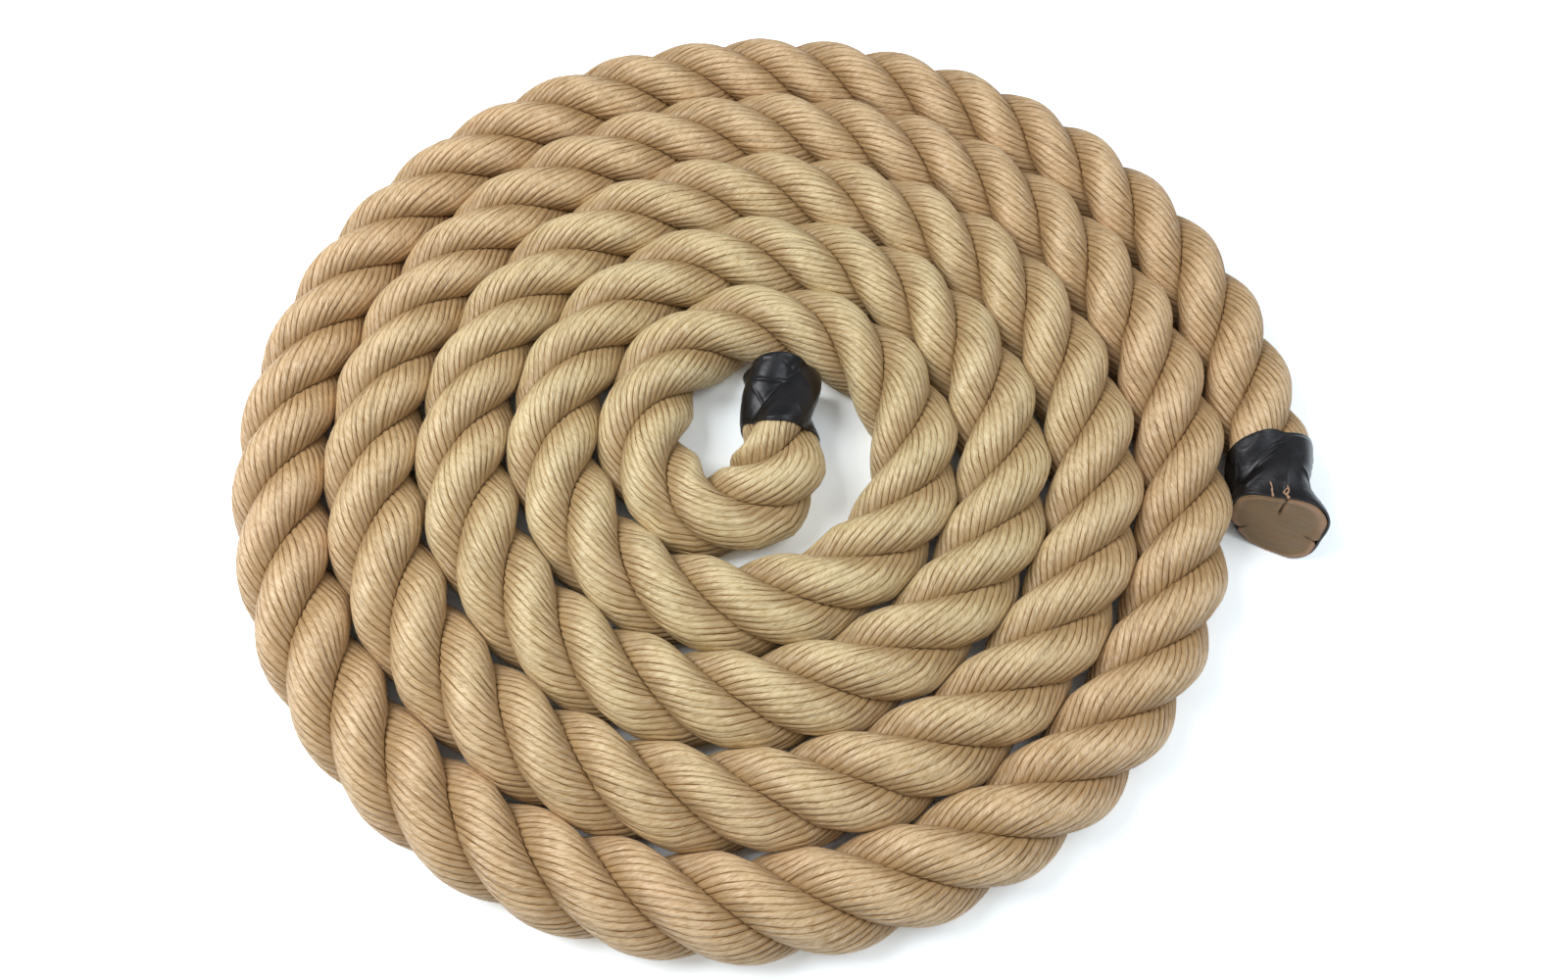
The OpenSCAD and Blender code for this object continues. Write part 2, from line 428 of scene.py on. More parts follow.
@dataclass(frozen=True)
class YarnFinish:
    """Silky yarn of split film, with painted highlights, partly wear, where it stands out, and painted shade
    in its grooves and where it is pressed.
    """

    crown: Colour = (0.72, 0.51, 0.265)
    # pale is painted highlight on the strands' crowns (there partly wear), on the fibre streaks, on each
    # yarn's ridge and in the pale flecks.
    pale: Colour = (0.88, 0.70, 0.425)
    deep: Colour = (0.56, 0.38, 0.18)
    # shade and the shaded groove colour are painted shade: on the flanks where the strands press on each
    # other, and in the grooves and splits between the yarns.
    shade: Colour = (0.38, 0.23, 0.095)
    shaded_groove: Colour = (0.17, 0.083, 0.026)
    rose: Colour = (0.74, 0.495, 0.30)
    olive: Colour = (0.66, 0.52, 0.255)
    inner_tint: Colour = (0.965, 1.02, 1.0)
    # The outer tint is rosier and also darker, as painted shade on the outer turns.
    outer_tint_and_shade: Colour = (0.975, 0.915, 0.91)
    sheen: Colour = (1.0, 0.9, 0.72)
    roughness: float = 0.42
    anisotropy: float = 0.75
    specular: float = 0.8
    waver: Streak = Streak(75.0, 0.7)
    breaks: Streak = Streak(60.0, 1.1)
    fibres: Streak = Streak(130.0, 6.5, 95.0)
    threads: Streak = Streak(60.0, 2.6, 40.0)
    bands: Streak = Streak(26.0, 0.9)
    flecks: Streak = Streak(290.0, 3.4, 110.0)
    splits: Streak = Streak(34.0, 2.3, 30.0)

    def material(self, effects: Effects) -> Material:
        """Builds the material from each point's place on its yarn and on its strand."""
        made, g, shader = new_finish("synthetic hemp yarn")
        place, flank = g.uv(YARN_MAP), g.uv(STRAND_MAP)["X"]
        along, level = place["X"], place["Y"]
        sorts = (self.waver, self.breaks, self.fibres, self.threads, self.bands, self.flecks, self.splits)
        streaks = [effects.streaks(g, along, level, sort) for sort in sorts]
        waver, breaks, fibres, threads, bands, flecks, splits = streaks

        # The yarns snake a little beside each other, and the grooves between them come and go.
        across = g.math("MULTIPLY_ADD", g.math("SUBTRACT", waver, 0.5), 0.32, level)
        own = g.add("TexWhiteNoise", {"W": g.math("FLOOR", across)}, noise_dimensions="1D").outputs["Value"]
        rise = g.math("ABSOLUTE", g.math("MULTIPLY_ADD", g.math("FRACT", across), 2.0, -1.0))
        rise = g.math("SUBTRACT", 1.0, rise)
        breaks = g.fade(breaks, 0.38, 0.58, 0.3, 1.0)
        shaded_groove = g.times(g.fade(rise, 0.0, 0.34, 1.0, 0.0), breaks)
        pit = g.times(g.fade(rise, 0.04, 0.2, 1.0, 0.0), breaks)
        splits = g.math("ABSOLUTE", g.math("SUBTRACT", splits, 0.5))
        splits = g.times(g.fade(splits, 0.006, 0.034, 1.0, 0.0), g.fade(bands, 0.56, 0.42))

        spot = g.spot()
        rosy = effects.patches(g, spot, 21.0, 0.5, 0.68)
        mossy = effects.patches(g, spot, 15.0, 0.52, 0.7)
        # Patches of wear and painted highlight on the strands' crowns.
        worn_and_lit = effects.patches(g, spot, 55.0, 0.36, 0.62)
        tone = g.math("ADD", g.times(own, 0.3), g.times(bands, 0.7))
        # Rose and olive patches and darker threads are the fibre's own tone. The pale layers are painted
        # highlights: on the crowns (partly wear), along the fibre streaks, on each yarn's ridge and in the
        # pale flecks.
        fibre = (
            (g.times(rosy, 0.45), self.rose),
            (g.times(mossy, 0.45), self.olive),
            (g.fade(threads, 0.54, 0.36, 0.0, 0.7), self.deep),
            (g.times(g.fade(flank, 0.62, 0.05), g.math("MULTIPLY_ADD", worn_and_lit, 0.55, 0.1)), self.pale),
            (g.times(g.fade(fibres, 0.5, 0.66), 0.5), self.pale),
            (g.fade(rise, 0.45, 1.0, 0.0, 0.48), self.pale),
            (g.fade(flecks, 0.52, 0.62, 0.0, 0.65), self.pale),
            (g.fade(flecks, 0.47, 0.37, 0.0, 0.75), self.deep),
        )
        # Painted shade: in the splits, on the flanks where the strands press on each other, and in the
        # grooves between the yarns, most on the flanks.
        pressed = (
            (g.times(splits, 0.3), self.shaded_groove),
            (g.fade(flank, 0.4, 0.84, 0.0, 0.6), self.shade),
            (g.times(shaded_groove, g.fade(flank, 0.08, 0.5, 0.2, 1.0)), self.shade),
            (g.times(pit, g.fade(flank, 0.08, 0.5, 0.6, 1.0)), self.shaded_groove),
        )
        body = g.layers(g.blend(g.fade(tone, 0.34, 0.62), self.deep, self.crown), fibre)
        # Greener towards the inner end, and rosier and darker, as painted shade, towards the outer end.
        tint = g.blend(g.fade(along, 0.3, 3.2), self.inner_tint, self.outer_tint_and_shade)
        body = g.layers(g.blend(1.0, body, tint, "MULTIPLY"), pressed)

        height = g.math("ADD", g.times(fibres, 0.7), g.times(threads, 0.8))
        height = g.math("ADD", height, g.times(flecks, 0.4))
        height = g.math("SUBTRACT", height, g.times(g.math("ADD", shaded_groove, splits), 0.5))
        shine = g.times(g.fade(shaded_groove, 0.0, 0.7, self.specular, 0.1), g.fade(flecks, 0.4, 0.6, 0.5, 1.4))
        looks = {
            "Base Color": body,
            "Roughness": g.fade(fibres, 0.3, 0.7, self.roughness + 0.12, self.roughness - 0.1),
            "Normal": g.bump(height, 0.55, 0.6 * MM),
            "Tangent": g.add("Tangent", direction_type="UV_MAP", uv_map=YARN_MAP).outputs[0],
            "Anisotropic": self.anisotropy,
            "Anisotropic Rotation": 0.25,
            "Specular IOR Level": shine,
            "Sheen Weight": 0.05,
            "Sheen Roughness": 0.5,
            "Sheen Tint": self.sheen,
        }
        g.feed(shader, looks)
        return made


@dataclass(frozen=True)
class TapeFinish:
    """Black vinyl tape, stretched on and a little dusty."""

    base: Colour = (0.0045, 0.0045, 0.0055)
    dust: Colour = (0.02, 0.0195, 0.024)
    glint: Colour = (0.92, 0.94, 1.0)
    roughness: float = 0.36

    def material(self, effects: Effects) -> Material:
        """Builds the material from the object's own coordinates."""
        made, g, shader = new_finish("black vinyl tape")
        place = g.spot()
        patches = effects.patches(g, place, 90.0, 0.4, 0.7)
        specks = effects.patches(g, place, 900.0, 0.62, 0.72)
        dusty = g.math("MULTIPLY_ADD", specks, 0.25, g.times(patches, 0.5))
        pebble, waves = g.noise(place, 1500.0, 2.0), g.noise(place, 230.0, Distortion=0.9)
        looks = {
            "Base Color": g.blend(dusty, self.base, self.dust),
            "Roughness": g.fade(patches, 0.0, 1.0, self.roughness - 0.06, self.roughness + 0.14),
            "Normal": g.bump(g.math("ADD", g.times(pebble, 0.1), waves), 0.3, 0.5 * MM),
            "Specular IOR Level": 0.45,
            "Specular Tint": self.glint,
        }
        g.feed(shader, looks)
        return made


@dataclass(frozen=True)
class SealFinish:
    """Brown fibre, melted and cut with a hot blade."""

    base: Colour = (0.235, 0.157, 0.08)
    streak: Colour = (0.17, 0.109, 0.054)
    rim: Colour = (0.5, 0.31, 0.2)
    # The seams' colour is painted shade in their notches and grooves.
    seam_shade: Colour = (0.028, 0.015, 0.009)
    roughness: float = 0.55
    drag: Streak = Streak(70.0, 950.0)

    def material(self, effects: Effects) -> Material:
        """Builds the material from the object's own coordinates and the marks on its face."""
        made, g, shader = new_finish("melted fibre")
        place, marks = g.spot(), g.uv(YARN_MAP)
        patches = effects.patches(g, place, 150.0, 0.35, 0.7)
        parts = g.split(place)
        drag = effects.streaks(g, parts["X"], parts["Z"], self.drag)
        # A paler rim, and painted shade in the seams.
        rim_and_seam_shade = (
            (g.times(patches, 0.16), self.rim),
            (g.times(marks["X"], g.math("MULTIPLY_ADD", patches, 0.5, 0.6)), self.rim),
            (marks["Y"], self.seam_shade),
        )
        body = g.blend(g.fade(drag, 0.42, 0.66, 0.0, 0.5), self.base, self.streak)
        looks = {
            "Base Color": g.layers(body, rim_and_seam_shade),
            "Roughness": g.fade(patches, 0.0, 1.0, self.roughness - 0.1, self.roughness + 0.12),
            "Normal": g.bump(g.math("ADD", g.times(patches, 0.6), g.times(drag, 0.7)), 0.4, 0.4 * MM),
            "Specular IOR Level": 0.35,
        }
        g.feed(shader, looks)
        return made


# ---------------------------------------------------------------- the rope's line


@dataclass(frozen=True)
class EndSizes:
    """Sizes of the taped and sealed ends."""

    tape_width: float = 34 * MM
    tape_thickness: float = 0.6 * MM
    tape_fit: float = 0.4 * MM
    inner_draw: float = 2.2 * MM
    outer_draw: float = 1.8 * MM
    inner_fill: float = 0.8 * MM
    outer_fill: float = 0.9 * MM
    waist_draw: float = 1 * MM
    bare: float = 0.5 * MM
    seal_thickness: float = 5 * MM
    seal_fit: float = 0.3 * MM
    neck_length: float = 10 * MM
    lean: float = 2.8 * MM
    lean_length: float = 110 * MM
    cut_yaw: float = 20.0
    cut_tilt: float = 10.0
    cut_height: float = 17.9 * MM

    @property
    def mouth(self) -> float:
        """Distance from a cut face to the mouth of its tape."""
        return self.bare + self.tape_width

    @property
    def over(self) -> float:
        """How far a tape's outside stands off the crowns."""
        return self.tape_fit + self.tape_thickness


@dataclass(frozen=True)
class RopeSizes:
    """Sizes of the laid rope."""

    diameter: float = 36.8 * MM
    lay_length: float = 103.2 * MM
    lay_gain: float = 244.0
    lay_start: float = 38.0
    lay_sway: float = 10.7
    sway_turn: float = 138.0
    end_lag: float = 56.0
    lag_length: float = 250 * MM
    crown_radius: float = 11 * MM
    settle: float = 3.6 * MM
    strands: int = 3

    @property
    def radius(self) -> float:
        """Radius over the crowns."""
        return self.diameter / 2

    @property
    def offset(self) -> float:
        """Distance from the rope's middle to the middle of a strand."""
        return self.radius - self.crown_radius


@dataclass
class CoilPath:
    """The line that the rope follows: a straight end, a tight hook, an even spiral and a straight end."""

    rope: RopeSizes
    ends: EndSizes
    core_radius: float = 42.4 * MM
    turn_gap: float = 0.65 * MM
    turns: float = 4.647
    hook_radius: float = 25.5 * MM
    hook_turn: float = 130.0
    outer_leg: float = 20 * MM
    end_gap: float = 0.6 * MM
    lift_length: float = 40 * MM
    floor_rounding: float = 1.2 * MM
    outline_middle: tuple[float, float] = (9.98997 * MM, 9.54676 * MM)
    pitch: float = field(init=False)
    hook_at: Array = field(init=False)
    leg_x: float = field(init=False)
    leg_top: float = field(init=False)
    hook_start: float = field(init=False)
    spiral_start: float = field(init=False)
    spiral_end: float = field(init=False)
    length: float = field(init=False)

    def __post_init__(self) -> None:
        """Works out where each part of the line starts."""
        self.pitch = self.rope.diameter + self.turn_gap
        hook_top = self._spiral(np.array([self.hook_turn]))[0]
        self.hook_at = hook_top - self.hook_radius * self.outward(self.hook_turn)
        self.leg_x = self.hook_at[0] + self.hook_radius
        # The inner end stops short of the turn that it points at.
        far = np.arange(200.0, 351.0, 2.0)
        inner_side = self._spiral(far) - self.rope.radius * self.outward(far)
        reach = self.rope.radius - self.ends.inner_draw + self.ends.tape_fit + self.ends.tape_thickness
        near = np.abs(inner_side[:, 0] - self.leg_x) <= reach
        self.leg_top = inner_side[near, 1].min() - self.end_gap
        self.hook_start = self.leg_top - self.hook_at[1]
        self.spiral_start = self.hook_start + self.hook_radius * math.radians(self.hook_turn)
        wound = 2 * math.pi * self.turns * (self.core_radius + self.pitch * self.turns / 2)
        self.spiral_end = self.spiral_start + wound
        self.length = self.spiral_end + self.outer_leg

    @staticmethod
    def outward(angle: Array | float) -> Array:
        """Level direction out of the coil at a turn angle, which runs clockwise from +X seen from above."""
        a = np.radians(angle)
        return np.stack([np.cos(a), -np.sin(a)], -1)

    @staticmethod
    def ahead(angle: Array | float) -> Array:
        """Level direction of the way ahead along the rope at a turn angle."""
        a = np.radians(angle)
        return np.stack([-np.sin(a), -np.cos(a)], -1)

    def _spiral(self, angle: Array) -> Array:
        """Points of the spiral, whose radius of bend grows by one pitch a turn."""
        bend = self.core_radius + self.pitch * (angle - self.hook_turn) / TURN
        return bend[..., None] * self.outward(angle) + self.pitch / (2 * math.pi) * self.ahead(angle)

    def angle(self, s: Array) -> Array:
        """Turn angle at places along the rope."""
        run = np.clip(s, self.spiral_start, self.spiral_end) - self.spiral_start
        root = np.sqrt(self.core_radius**2 + self.pitch * run / math.pi)
        wound = self.hook_turn + TURN * (root - self.core_radius) / self.pitch
        hooked = np.degrees((s - self.hook_start) / self.hook_radius)
        return np.where(s < self.hook_start, 0.0, np.where(s < self.spiral_start, hooked, wound))

    def end_distance(self, s: Array) -> Array:
        """Distance to the nearer cut face."""
        return np.minimum(s, self.length - s)

    def _own(self, s: Array, inner: float, outer: float) -> Array:
        """Picks the inner end's or the outer end's size, by the nearer end."""
        return np.where(s > self.length / 2, outer, inner)

    def draw(self, s: Array) -> Array:
        """How far the nearer end's tape draws the rope in, on the radius."""
        return self._own(s, self.ends.inner_draw, self.ends.outer_draw)

    def share(self, s: Array) -> Array:
        """The rope's radius over its free radius, which falls smoothly towards each tape and its waist."""
        e, d = self.ends, self.end_distance(s)
        waist = e.waist_draw * np.sin(math.pi * np.clip(d / e.mouth, 0.0, 1.0))
        taped = self.rope.radius - self.draw(s) + self._own(s, e.inner_fill, e.outer_fill) - waist
        taped = taped / self.rope.radius
        return taped + (1.0 - taped) * ease((d - e.mouth) / e.neck_length)

    def centre(self, s: Array) -> Array:
        """Centre points at places along the rope."""
        a = self.angle(s)
        leg = np.stack([np.full_like(s, self.leg_x), self.leg_top - s], -1)
        hook = self.hook_at + self.hook_radius * self.outward(a)
        wound = self._spiral(a) + np.maximum(s - self.spiral_end, 0.0)[:, None] * self.ahead(a)
        flat = np.where((s < self.spiral_start)[:, None], hook, wound)
        flat = np.where((s < self.hook_start)[:, None], leg, flat)
        e = self.ends
        leaning = e.lean * ease((s - self.length + e.lean_length) / (0.7 * e.lean_length))
        flat = flat - np.array(self.outline_middle) - leaning[:, None] * self.outward(a)
        return np.concatenate([flat, self.height(s)[:, None]], 1)

    def height(self, s: Array) -> Array:
        """Height of the centre: the free rope is settled, and each end stands on its tape."""
        e, d = self.ends, self.end_distance(s)
        stand = self.rope.radius - self.draw(s) + e.tape_fit + e.tape_thickness
        rest = self.rope.radius - self.rope.settle
        return stand - (stand - rest) * ease((d - e.mouth) / self.lift_length)

    def lay(self, s: Array) -> Array:
        """Direction of the first strand about the rope's axis."""
        r = self.rope
        even = r.lay_start + TURN * s / r.lay_length + r.lay_gain * (s / self.length) ** 2
        sway = r.lay_sway * np.cos(np.radians(self.angle(s) - r.sway_turn))
        lag = r.end_lag * np.maximum(1.0 - self.end_distance(s) / r.lag_length, 0.0) ** 2
        return even + sway - lag

    def off_crown(self, s: Array, phi: Array | float) -> Array:
        """Radians from an angle round the rope to the crown of the nearest strand."""
        return np.radians(np.abs(turned(phi, self.lay(s), TURN / self.rope.strands)))

    def place(self, s: Array, side: Array, up: Array) -> Array:
        """Points of the rope's cross-sections, pressed up onto the floor.

        Args:
            s: Places along the rope, one for each row.
            side: Level distances out of the coil from the centre, row by row.
            up: Heights above the centre, row by row.

        Returns:
            An array of rows, columns and 3 coordinates.
        """
        e, a, centre = self.ends, self.angle(s), self.centre(s)
        z = centre[:, None, 2] + up
        z = 0.5 * (z + np.sqrt(z * z + self.floor_rounding**2))
        # The outer end is cut aslant, and everything near the cut leans with it.
        yaw, tilt = math.radians(e.cut_yaw), math.radians(e.cut_tilt)
        slant = (side - e.lean) * math.tan(yaw) - (z - e.cut_height) * math.tan(tilt) / math.cos(yaw)
        slant = slant * ease((s - self.length + e.mouth) / e.mouth)[:, None]
        flat = centre[:, None, :2] + side[..., None] * self.outward(a)[:, None, :]
        flat = flat + slant[..., None] * self.ahead(a)[:, None, :]
        return np.concatenate([flat, z[..., None]], -1)


# ---------------------------------------------------------------- the laid strands


@dataclass(frozen=True)
class Swell:
    """Where the bent rope swells: turn angle, reach in degrees, and size into and out of the coil."""

    middle: float
    reach: float
    inward: float
    outward: float


@dataclass
class LaidStrands:
    """The three strands, each a skin of cover yarns that turn against the lay."""

    path: CoilPath
    yarns: int = 26
    yarn_steps: tuple[float, ...] = (0.0, 0.24, 0.76)
    yarn_heights: tuple[float, ...] = (-1.0, -0.1, -0.1)
    yarn_twist: float = 5820.0
    ridge: float = 0.52 * MM
    ridge_least: float = 0.32
    ridge_gain: float = 0.86
    ridge_angle: float = 66.0
    ring_step: float = 3.1 * MM
    strand_gap: float = 0.16 * MM
    press_rounding: float = 1.5 * MM
    wander: float = 2.6
    wander_length: float = 32 * MM
    rise: float = 0.24 * MM
    rise_length: float = 45 * MM
    bulge_share: float = 0.44
    bulge_most: float = 1.6 * MM
    tuck: float = 0.18
    swells: tuple[Swell, ...] = (Swell(185.0, 75.0, 1.8 * MM, 0.0), Swell(24.0, 60.0, 1.7 * MM, 1.9 * MM))
    bake_rows: int = 8
    bake_margin: float = 0.02
    seed: int = 11

    def build(self, number: int) -> Object:
        """Makes one strand.

        Args:
            number: Which strand, from 0.

        Returns:
            The strand's object.
        """
        path = self.path
        start = path.ends.seal_thickness + path.ends.seal_fit
        rings = int(round((path.length - 2 * start) / self.ring_step)) + 1
        s = np.linspace(start, path.length - start, rings)
        side, up, off = self._section(s, number)
        points = path.place(s, side, up)
        last = s[[0, -1]]
        turn, reach = self._turn(last, number), (path.rope.offset * path.share(last))[:, None]
        tips = path.place(last, reach * np.cos(turn), reach * np.sin(turn))[:, 0]
        columns = points.shape[1]
        maps = {
            YARN_MAP: self._yarn_map(s, number),
            STRAND_MAP: self._strand_map(np.abs(off) / 90.0),
            BAKE_MAP: self._bake_map(rings, columns),
        }
        every = np.concatenate([points.reshape(-1, 3), tips])
        return mesh_object(f"laid_strand_{number + 1}", every, closed_tube(rings, columns), maps)

    def _turn(self, s: Array, number: int) -> Array:
        """Direction of a strand about the rope's axis, in radians, one row for each place."""
        return np.radians(self.path.lay(s) + TURN / self.path.rope.strands * number)[:, None]

    def _section(self, s: Array, number: int) -> tuple[Array, Array, Array]:
        """Works out the strand's rings.

        Args:
            s: The rings' places along the rope.
            number: Which strand.

        Returns:
            Each point's side and height from the rope's centre, and its angle from the strand's crown.
        """
        rope = self.path.rope
        rng = np.random.default_rng(self.seed + number)
        share = self.path.share(s)[:, None]
        offset, crown = rope.offset * share, rope.crown_radius * share

        # Grooves between yarns, then the points on each yarn between its two grooves.
        bounds = TURN / self.yarns * np.arange(self.yarns)
        bounds = bounds + self.wander * drift(rng, s, self.yarns, self.wander_length)
        after = np.concatenate([bounds[:, 1:], bounds[:, :1] + TURN], 1)
        steps, levels = np.array(self.yarn_steps), np.array(self.yarn_heights)
        t = bounds[:, :, None] * (1 - steps) + after[:, :, None] * steps
        t = turned(t.reshape(len(s), -1) - self.yarn_twist * s[:, None])
        height = self.rise * drift(rng, s, self.yarns, self.rise_length)
        ridge = (self.ridge * levels + height[:, :, None] * (steps > 0)).reshape(len(s), -1)
        ridge = ridge * (self.ridge_least + self.ridge_gain * ease(np.abs(t) / self.ridge_angle))

        # A strand is round outside, and flat where it presses on its neighbours.
        half = 180.0 / rope.strands
        lean = np.sin(np.radians(np.maximum(np.abs(t) - half, 0.5)))
        flat = (offset * math.sin(math.radians(half)) - self.strand_gap / 2) / lean
        pressed = ease((crown - flat) / self.press_rounding + 1.0)
        free, touching = crown + ridge * (1.0 - pressed), flat + ridge * 0.3 * pressed - 0.02 * MM
        reach = soft_least(free, touching, 1.0 * MM)
        x = offset + reach * np.cos(np.radians(t))
        y = reach * np.sin(np.radians(t))
        turn = self._turn(s, number)
        side, up = x * np.cos(turn) - y * np.sin(turn), x * np.sin(turn) + y * np.cos(turn)
        return *self._pressed(s, side, up), t

    def _pressed(self, s: Array, side: Array, up: Array) -> tuple[Array, Array]:
        """Bulges the rope into the hollows of the turns beside it, and swells it where it is bent most.

        Args:
            s: The rings' places along the rope.
            side: Level distances out of the coil from the centre, row by row.
            up: Heights above the centre, row by row.

        Returns:
            The new sides and heights.
        """
        path, ends = self.path, self.path.ends
        away, from_cut = np.hypot(side, up), path.end_distance(s)[:, None]
        level = side / np.maximum(away, 1e-6)
        share = away / path.rope.radius
        inner, outer = self._bulge(s)
        bulge = np.where(level < 0, inner[:, None], outer[:, None]) * ease((np.abs(level) - 0.2) / 0.7)
        gain = bulge * ease((share - 0.2) / 0.5)
        angle = path.angle(s)[:, None]
        for swell in self.swells:
            size = np.where(level < 0, swell.inward, swell.outward)
            size = size * ease(1.0 - np.abs(angle - swell.middle) / swell.reach)
            gain = gain + size * ease(share) * level**2
        gain = gain * ease((from_cut - ends.mouth) / (1.4 * ends.neck_length)) / np.maximum(away, MM)
        # The strands are squeezed together where the heat and the blade closed the cut.
        tucked = 1.0 - self.tuck * ease(1.0 - from_cut / (0.65 * ends.mouth))
        return side * (1.0 + gain) * tucked, up * (1.0 + 0.3 * gain) * tucked

    def _reach(self, s: Array, way: float) -> Array:
        """How far the strands reach from the rope's centre to one side: 0 is out of the coil, 180 into it."""
        rope = self.path.rope
        return crown_reach(rope.offset, rope.crown_radius, self.path.off_crown(s, way))

    def _bulge(self, s: Array) -> list[Array]:
        """How far places bulge into and out of the coil, up to the turns beside them."""
        path = self.path
        every = np.linspace(0.0, path.length, 4000)
        angle, angles = path.angle(s), path.angle(every)
        bulges = []
        for way, turn in ((180.0, -TURN), (0.0, TURN)):
            beside = np.interp(angle + turn, angles, every)
            room = path.pitch - self._reach(s, way) - self._reach(beside, 180.0 - way)
            there = np.minimum(angle + turn - 15.0, angles[-1] - angle - turn) / 30.0
            bulges.append(soft_least(self.bulge_share * room, self.bulge_most, 0.4 * MM) * ease(there))
        return bulges

    def _yarn_map(self, s: Array, number: int) -> Array:
        """UV pairs: the place along the rope, and the yarn's number counted over all strands."""
        across = (np.arange(self.yarns)[:, None] + np.array(self.yarn_steps)).ravel()
        across = np.append(across, self.yarns) + self.yarns * number
        skin = quad_corners(s[:-1], s[1:], across).reshape(-1, 2)
        return np.concatenate([skin, np.tile([0.0, 0.5], (2 * 3 * (len(across) - 1), 1))])

    @staticmethod
    def _strand_map(flank: Array) -> Array:
        """UV pairs: how far round the strand a point is from its crown, 0, to its flank, 1."""
        after = np.roll(flank, -1, axis=1)
        corners = np.stack([flank[:-1], after[:-1], after[1:], flank[1:]], -1).reshape(-1)
        every = np.concatenate([corners, np.ones(2 * 3 * flank.shape[1])])
        return np.stack([every, np.zeros_like(every)], -1)

    def _bake_map(self, rings: int, columns: int) -> Array:
        """Lays the strand out in rows, one above the other, with a margin round each.

        Args:
            rings: Number of the strand's rings.
            columns: Points in a ring.

        Returns:
            The UV pairs.
        """
        per_row = math.ceil((rings - 1) / self.bake_rows)
        row, place = np.divmod(np.arange(rings - 1), per_row)
        margin = self.bake_margin
        across = margin + (1 - 2 * margin) * np.arange(columns + 1) / columns
        skin = quad_corners(place / per_row, (place + 1) / per_row, across)
        skin[..., 0] = skin[..., 0] * (1 - margin) + margin / 2
        skin[..., 1] = (skin[..., 1] + row[:, None, None]) / self.bake_rows
        spot = np.array([[0.0, 0.0], [0.004, 0.0], [0.004, 0.004]])
        return np.concatenate([skin.reshape(-1, 2), np.tile(spot, (2 * columns, 1)) + 0.994])


# ---------------------------------------------------------------- taped and sealed ends


@dataclass(frozen=True)
class Fold:
    """A fold in stretched tape between two points: angles round the rope, and mm from the tape's mouth."""

    start: tuple[float, float]
    stop: tuple[float, float]
    height: float = 0.4
    breadth: float = 0.8

    def rise(self, phi: Array, back: Array, radius: float) -> Array:
        """Height of the fold, steep on one side.

        Args:
            phi: Angles round the rope.
            back: Distances from the tape's mouth, in mm.
            radius: Radius of the rope, in mm.

        Returns:
            The heights in mm, in the shape of phi.
        """
        per_degree = radius * math.pi / 180.0
        start, stop = (np.array([angle * per_degree, away]) for angle, away in (self.start, self.stop))
        middle, way = (start + stop) / 2, stop - start
        reach = np.hypot(*way) / 2
        way = way / (2 * reach)
        dx, dy = turned(phi * per_degree, middle[0], TURN * per_degree), back - middle[1]
        run, off = dx * way[0] + dy * way[1], (dy * way[0] - dx * way[1]) / self.breadth
        return self.height * bell(off, 1.4) * (1.0 - 0.6 * np.tanh(1.5 * off)) * bell(run / reach, 4)


@dataclass(frozen=True)
class Drip:
    """A thread of melted fibre over the tape: angles round the rope, mm behind the cut, and mm thick."""

    points: tuple[tuple[float, float], ...]
    thickness: float = 0.9

    def line(self) -> tuple[Array, Array]:
        """Angles, and distances behind the cut in metres, at close steps along the thread."""
        marks = np.arange(len(self.points), dtype=float)
        fine = np.linspace(0.0, marks[-1], 6 * len(self.points))
        phi, back = (np.interp(fine, marks, knots) for knots in np.array(self.points).T)
        return phi, back * MM


@dataclass(frozen=True)
class EndShape:
    """What differs between the two ends. Angles run from the way out of the coil, 0, over the top, 90.

    A facet is a flat place in the tape: its angle, distance from the mouth, half length and depth.
    A seam is its angle and how near it comes to the middle of the face.
    """

    mouth_top: float
    mouth_left: float
    mouth_right: float
    folds: tuple[Fold, ...]
    facets: tuple[tuple[float, float, float, float], ...]
    seams: tuple[tuple[float, float], ...]
    tape_seed: int
    spread: float = 0.0
    drips: tuple[Drip, ...] = ()


